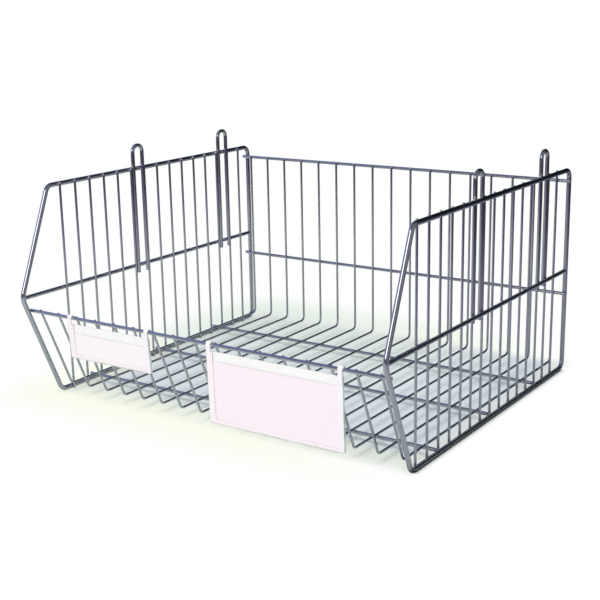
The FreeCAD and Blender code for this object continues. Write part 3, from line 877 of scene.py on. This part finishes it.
CARD_BACK = 0.0028
CARD_FRONT = 0.0033
CARD_FOOT = 0.0033
CARD_DROP = 0.013
CARD_BOW = 0.00022
CARD_COLUMNS = 24
CARD_SHADES = {"small": {"Clean": (0.96, 0.91, 0.905), "Clouded": (0.94, 0.915, 0.91)},
               "large": {"Clean": (0.975, 0.865, 0.93), "Clouded": (0.945, 0.855, 0.90)}}

for size in ("small", "large"):
    node_low, node_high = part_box(f"{size}_ticket_card")
    low_x, high_x = node_low.x, node_high.x
    bottom = PLATE_TOP - PLATE_HEIGHTS[size] + CARD_FOOT
    top = PLATE_TOP - CARD_DROP
    points = []
    for column in range(CARD_COLUMNS + 1):
        share = column / CARD_COLUMNS
        x = low_x + (high_x - low_x) * share
        bow = CARD_BOW * math.sin(math.pi * share)
        points += [hung(size, x, face + bow, height) for face, height in
                   ((CARD_BACK, bottom), (CARD_FRONT, bottom), (CARD_FRONT, top), (CARD_BACK, top))]
    faces = [(0, 1, 2, 3), tuple(4 * CARD_COLUMNS + number for number in (3, 2, 1, 0))]
    for near in range(0, 4 * CARD_COLUMNS, 4):
        far = near + 4
        faces += [(near + number, far + number, far + (number + 1) % 4, near + (number + 1) % 4)
                  for number in range(4)]
    card = new_piece(f"{size}_card", points, faces=faces)
    shape = bmesh.new()
    shape.from_mesh(card.data)
    bmesh.ops.recalc_face_normals(shape, faces=shape.faces)
    shape.to_mesh(card.data)
    shape.free()
    mark_edges(card, size, low_x, high_x, bottom, top)

    blank_card, tree, shader = new_finish(f"{size}_blank_card")
    # The rim is a thin painted shade along the card's edges.
    lay_handled_and_rim_shaded(tree, shader, {**CARD_SHADES[size], "Rim": (0.80, 0.75, 0.78), "Rim width": 0.0012,
                               "Clouds per metre": 16.0, "Grain per metre": 2600.0,
                               "Smoothness": 0.72, "Scuffing": 0.10},
                bump_strength=0.22, bump_depth=0.00006)
    shader.inputs["Specular IOR Level"].default_value = 0.3
    shader.inputs["Sheen Weight"].default_value = 0.05
    card.data.materials.append(blank_card)
    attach(card, f"{size}_ticket_card")
    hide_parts(f"{size}_ticket_card")


# -----------------------------------------------------------------------------
# The stage: a sheet of white paper for a floor, a soft white world, two lamps, and a dark room that
# only the plating mirrors.  The camera sees the paper white outside the bin, with a painted faint tint
# and painted soft shade round it, and under it the bin's own shadow over painted shade.
# -----------------------------------------------------------------------------

WHITE = (1, 1, 1)


def by_ray(tree, *kinds):
    """1 where a ray of one of these kinds arrives, as Light Path names them."""
    path = put(tree, "ShaderNodeLightPath").outputs
    seen = path[kinds[0]]
    for kind in kinds[1:]:
        seen = maths(tree, "MAXIMUM", seen, path[kind])
    return seen


def together(tree, mask, *others):
    """1 only where every one of these masks is."""
    for other in others:
        mask = maths(tree, "MULTIPLY", mask, other)
    return mask


def washed(tree, colour, *washes):
    """A colour with others laid over it, each given as (colour, measure, none here, full here)."""
    for wash, measure, none_here, full_here in washes:
        colour = blend(tree, fade(tree, measure, none_here, full_here), colour, wash)
    return colour


def mix_shaders(tree, factor, first, second):
    return put(tree, "ShaderNodeMixShader", {0: factor, 1: first, 2: second}).outputs[0]


def show(tree, shader_socket):
    tree.links.new(shader_socket, tree.get_output_node("ALL").inputs["Surface"])


# The floor.  Its measures are metres from the middle of the bin, to the right and to the rear, from
# the edge of the patch under the bin where shade is painted, and from the line on which the right skid
# stands.
FLOOR_REACH = 9.0
SHADE_MIDDLE = (-0.002, 0.0505, 0.0)
SHADE_HALF = (0.300, 0.262, 1.0)
POOL_MIDDLE = (-0.35, -0.30, 0.0)

floor = new_piece("studio_floor", [(-FLOOR_REACH, -FLOOR_REACH, 0), (FLOOR_REACH, -FLOOR_REACH, 0),
                                   (FLOOR_REACH, FLOOR_REACH, 0), (-FLOOR_REACH, FLOOR_REACH, 0)],
                  faces=[(0, 1, 2, 3)])
floor_finish, tree, shader = new_finish("studio_floor")
place = put(tree, "ShaderNodeTexCoord").outputs["Object"]
across, rearward = parts(tree, place)[:2]
from_shade = vector_maths(tree, "ABSOLUTE", vector_maths(tree, "SUBTRACT", place, SHADE_MIDDLE))
past_edges = vector_maths(tree, "SUBTRACT", from_shade, SHADE_HALF)
beyond = vector_maths(tree, "LENGTH", vector_maths(tree, "MAXIMUM", past_edges, (0, 0, 0)),
                      output="Value")
past_side, past_end = parts(tree, past_edges)[:2]
within = maths(tree, "MINIMUM", maths(tree, "MAXIMUM", past_side, past_end), 0.0)
outside = maths(tree, "ADD", beyond, within)
from_skid = maths(tree, "ABSOLUTE", maths(tree, "SUBTRACT", across, FRAME_X))
from_middle = maths(tree, "ABSOLUTE", maths(tree, "SUBTRACT", rearward, (front_y + rear_y) / 2))
past_skid = maths(tree, "SUBTRACT", from_middle, FRAME_DEPTH / 2 - FRAME_BEND)
off_skid = maths(tree, "MAXIMUM", from_skid, past_skid)
from_pool = vector_maths(tree, "DISTANCE", place, POOL_MIDDLE, output="Value")

# What the plating mirrors, painted into the floor's colour for glossy rays alone: a painted pool of
# light to the front left, dusk round it, night beyond, and a painted shadow line along the right skid.
POOL = (0.53, 0.59, 0.58)
DUSK = (0.27, 0.25, 0.35)
NIGHT = (0.05, 0.05, 0.07)
SKID_SHADOW = (0.05, 0.06, 0.06)

mirrored = washed(tree, POOL, (DUSK, from_pool, 0.35, 1.3), (NIGHT, from_pool, 0.9, 2.2),
                  (SKID_SHADOW, off_skid, 0.025, 0.008))

# The paper that the camera sees at the bin's edge, with a painted warm tint to the front and left and
# greyer painted shade to the rear; and under the bin, bluer and darker, painted shade on top of the
# bin's own shadow.  The light that it throws back at the bin is nearly neutral.
EDGE_LEFT = (0.955, 0.975, 0.86)
EDGE_RIGHT = (0.92, 0.965, 0.91)
EDGE_REAR = (0.90, 0.945, 0.925)
UNDER_MIDDLE = (0.79, 0.845, 0.88)
UNDER_REAR = (0.83, 0.905, 0.87)
UNDER_RIGHT = (0.76, 0.85, 0.90)
UNDER_FRONT = (0.90, 0.955, 0.83)
THROWN_BACK = (0.965, 0.98, 0.985)

edge = washed(tree, EDGE_LEFT, (EDGE_RIGHT, across, -0.15, 0.3), (EDGE_REAR, rearward, -0.15, 0.0))
painted_shade_under = washed(tree, UNDER_MIDDLE, (UNDER_REAR, rearward, 0.0, 0.2), (UNDER_RIGHT, across, 0.0, 0.3),
               (UNDER_FRONT, rearward, -0.12, -0.20))
seen_paper = washed(tree, edge, (painted_shade_under, outside, -0.005, -0.042))
paper = blend(tree, by_ray(tree, "Is Camera Ray"), THROWN_BACK, seen_paper)
tree.links.new(blend(tree, by_ray(tree, "Is Glossy Ray"), paper, mirrored), shader.inputs["Base Color"])
shader.inputs["Roughness"].default_value = 0.9
shader.inputs["Specular IOR Level"].default_value = 0.0

# The white paper round the bin, with a painted warm halo of light at the front and left, and a
# painted shade to the rear.
HALO = (0.958, 0.985, 0.87)
REAR_SHADE = (0.78, 0.86, 0.81)

halo = together(tree, fade(tree, across, start=0.32, end=0.05),
                fade(tree, outside, start=0.11, end=0.02))
rear_shade = together(tree, fade(tree, outside, start=0.15, end=0.0),
                      fade(tree, rearward, start=-0.02, end=0.12),
                      fade(tree, across, start=0.31, end=-0.30))
white_paper = blend(tree, rear_shade, blend(tree, halo, WHITE, HALO), REAR_SHADE)
glow = put(tree, "ShaderNodeEmission", {"Color": white_paper, "Strength": 1.0})
white_here = together(tree, fade(tree, outside, start=-0.025, end=0.015),
                      fade(tree, off_skid, start=0.002, end=0.012), by_ray(tree, "Is Camera Ray"))
show(tree, mix_shaders(tree, white_here, shader.outputs[0], glow.outputs[0]))
floor.data.materials.append(floor_finish)

# The world: soft light for the bin, and plain white where it is seen or mirrored.
SOFT_LIGHT = 0.60

world = bpy.data.worlds.new("studio")
bpy.context.scene.world = world
world.use_nodes = True
tree = world.node_tree
tree.nodes.clear()
soft_light, white_light = [
    put(tree, "ShaderNodeBackground", {"Color": WHITE, "Strength": strength}).outputs[0]
    for strength in (SOFT_LIGHT, 1.0)]
seen = by_ray(tree, "Is Camera Ray", "Is Glossy Ray", "Is Transmission Ray")
put(tree, "ShaderNodeOutputWorld", {"Surface": mix_shaders(tree, seen, soft_light, white_light)})

# The dark room: a dome that is clear to all but glossy rays, and dim.  It is nearly black behind the
# bin, and lighter to its left, where it is blue, and to its right.
ROOM_RADIUS = 4.0
ROOM_STEPS = 12
ROOM_TURN = 90 / ROOM_STEPS
DIM_WALL = (0.10, 0.105, 0.13)
REAR_WALL = (0.008, 0.013, 0.014)
LEFT_WALL = (0.31, 0.345, 0.62)
RIGHT_WALL = (0.27, 0.275, 0.31)

around = 4 * ROOM_STEPS
points = [ROOM_RADIUS * way_out(ROOM_TURN * number, ROOM_TURN * row)
          for row in range(ROOM_STEPS) for number in range(around)]
points.append((0, 0, ROOM_RADIUS))
faces = []
for number in range(around):
    beside = (number + 1) % around
    faces += [(row + number, row + beside, row + around + beside, row + around + number)
              for row in range(0, around * (ROOM_STEPS - 1), around)]
    last_row = around * (ROOM_STEPS - 1)
    faces.append((last_row + number, last_row + beside, len(points) - 1))
room = new_piece("dark_room", points, faces=faces)
room_finish, tree, shader = new_finish("dark_room")
tree.nodes.remove(shader)
place = put(tree, "ShaderNodeTexCoord").outputs["Object"]
direction = vector_maths(tree, "NORMALIZE", place)


def towards(azimuth, elevation, inner, outer):
    """1 within the inner angle of a direction and 0 beyond the outer one, in degrees."""
    nearness = vector_maths(tree, "DOT_PRODUCT", direction, way_out(azimuth, elevation), output="Value")
    return fade(tree, nearness, math.cos(math.radians(outer)), math.cos(math.radians(inner)))


wall = blend(tree, towards(180, 0, inner=30, outer=110), DIM_WALL, REAR_WALL)
wall = blend(tree, towards(-90, 15, inner=15, outer=75), wall, LEFT_WALL)
wall = blend(tree, towards(80, 15, inner=15, outer=70), wall, RIGHT_WALL)
glow = put(tree, "ShaderNodeEmission", {"Color": wall, "Strength": 1.0})
clear = put(tree, "ShaderNodeBsdfTransparent")
show(tree, mix_shaders(tree, by_ray(tree, "Is Glossy Ray"), clear.outputs[0], glow.outputs[0]))
room.data.materials.append(room_finish)

# The lamps: a window to the front, and a wide soft one overhead that the plating doesn't mirror.
LAMP_DISTANCE = 3.0


def soft_lamp(name, azimuth, elevation, width, power, mirrored):
    light = bpy.data.lights.new(name, "AREA")
    light.size = width
    light.energy = power
    lamp = bpy.data.objects.new(name, light)
    lamp.location = LAMP_DISTANCE * way_out(azimuth, elevation)
    lamp.rotation_euler = lamp.location.to_track_quat("Z", "Y").to_euler()
    lamp.visible_glossy = mirrored
    bpy.context.scene.collection.objects.link(lamp)


soft_lamp("window", azimuth=-5, elevation=27, width=1.3, power=16.0, mirrored=True)
soft_lamp("overhead", azimuth=20, elevation=80, width=2.2, power=35.0, mirrored=False)
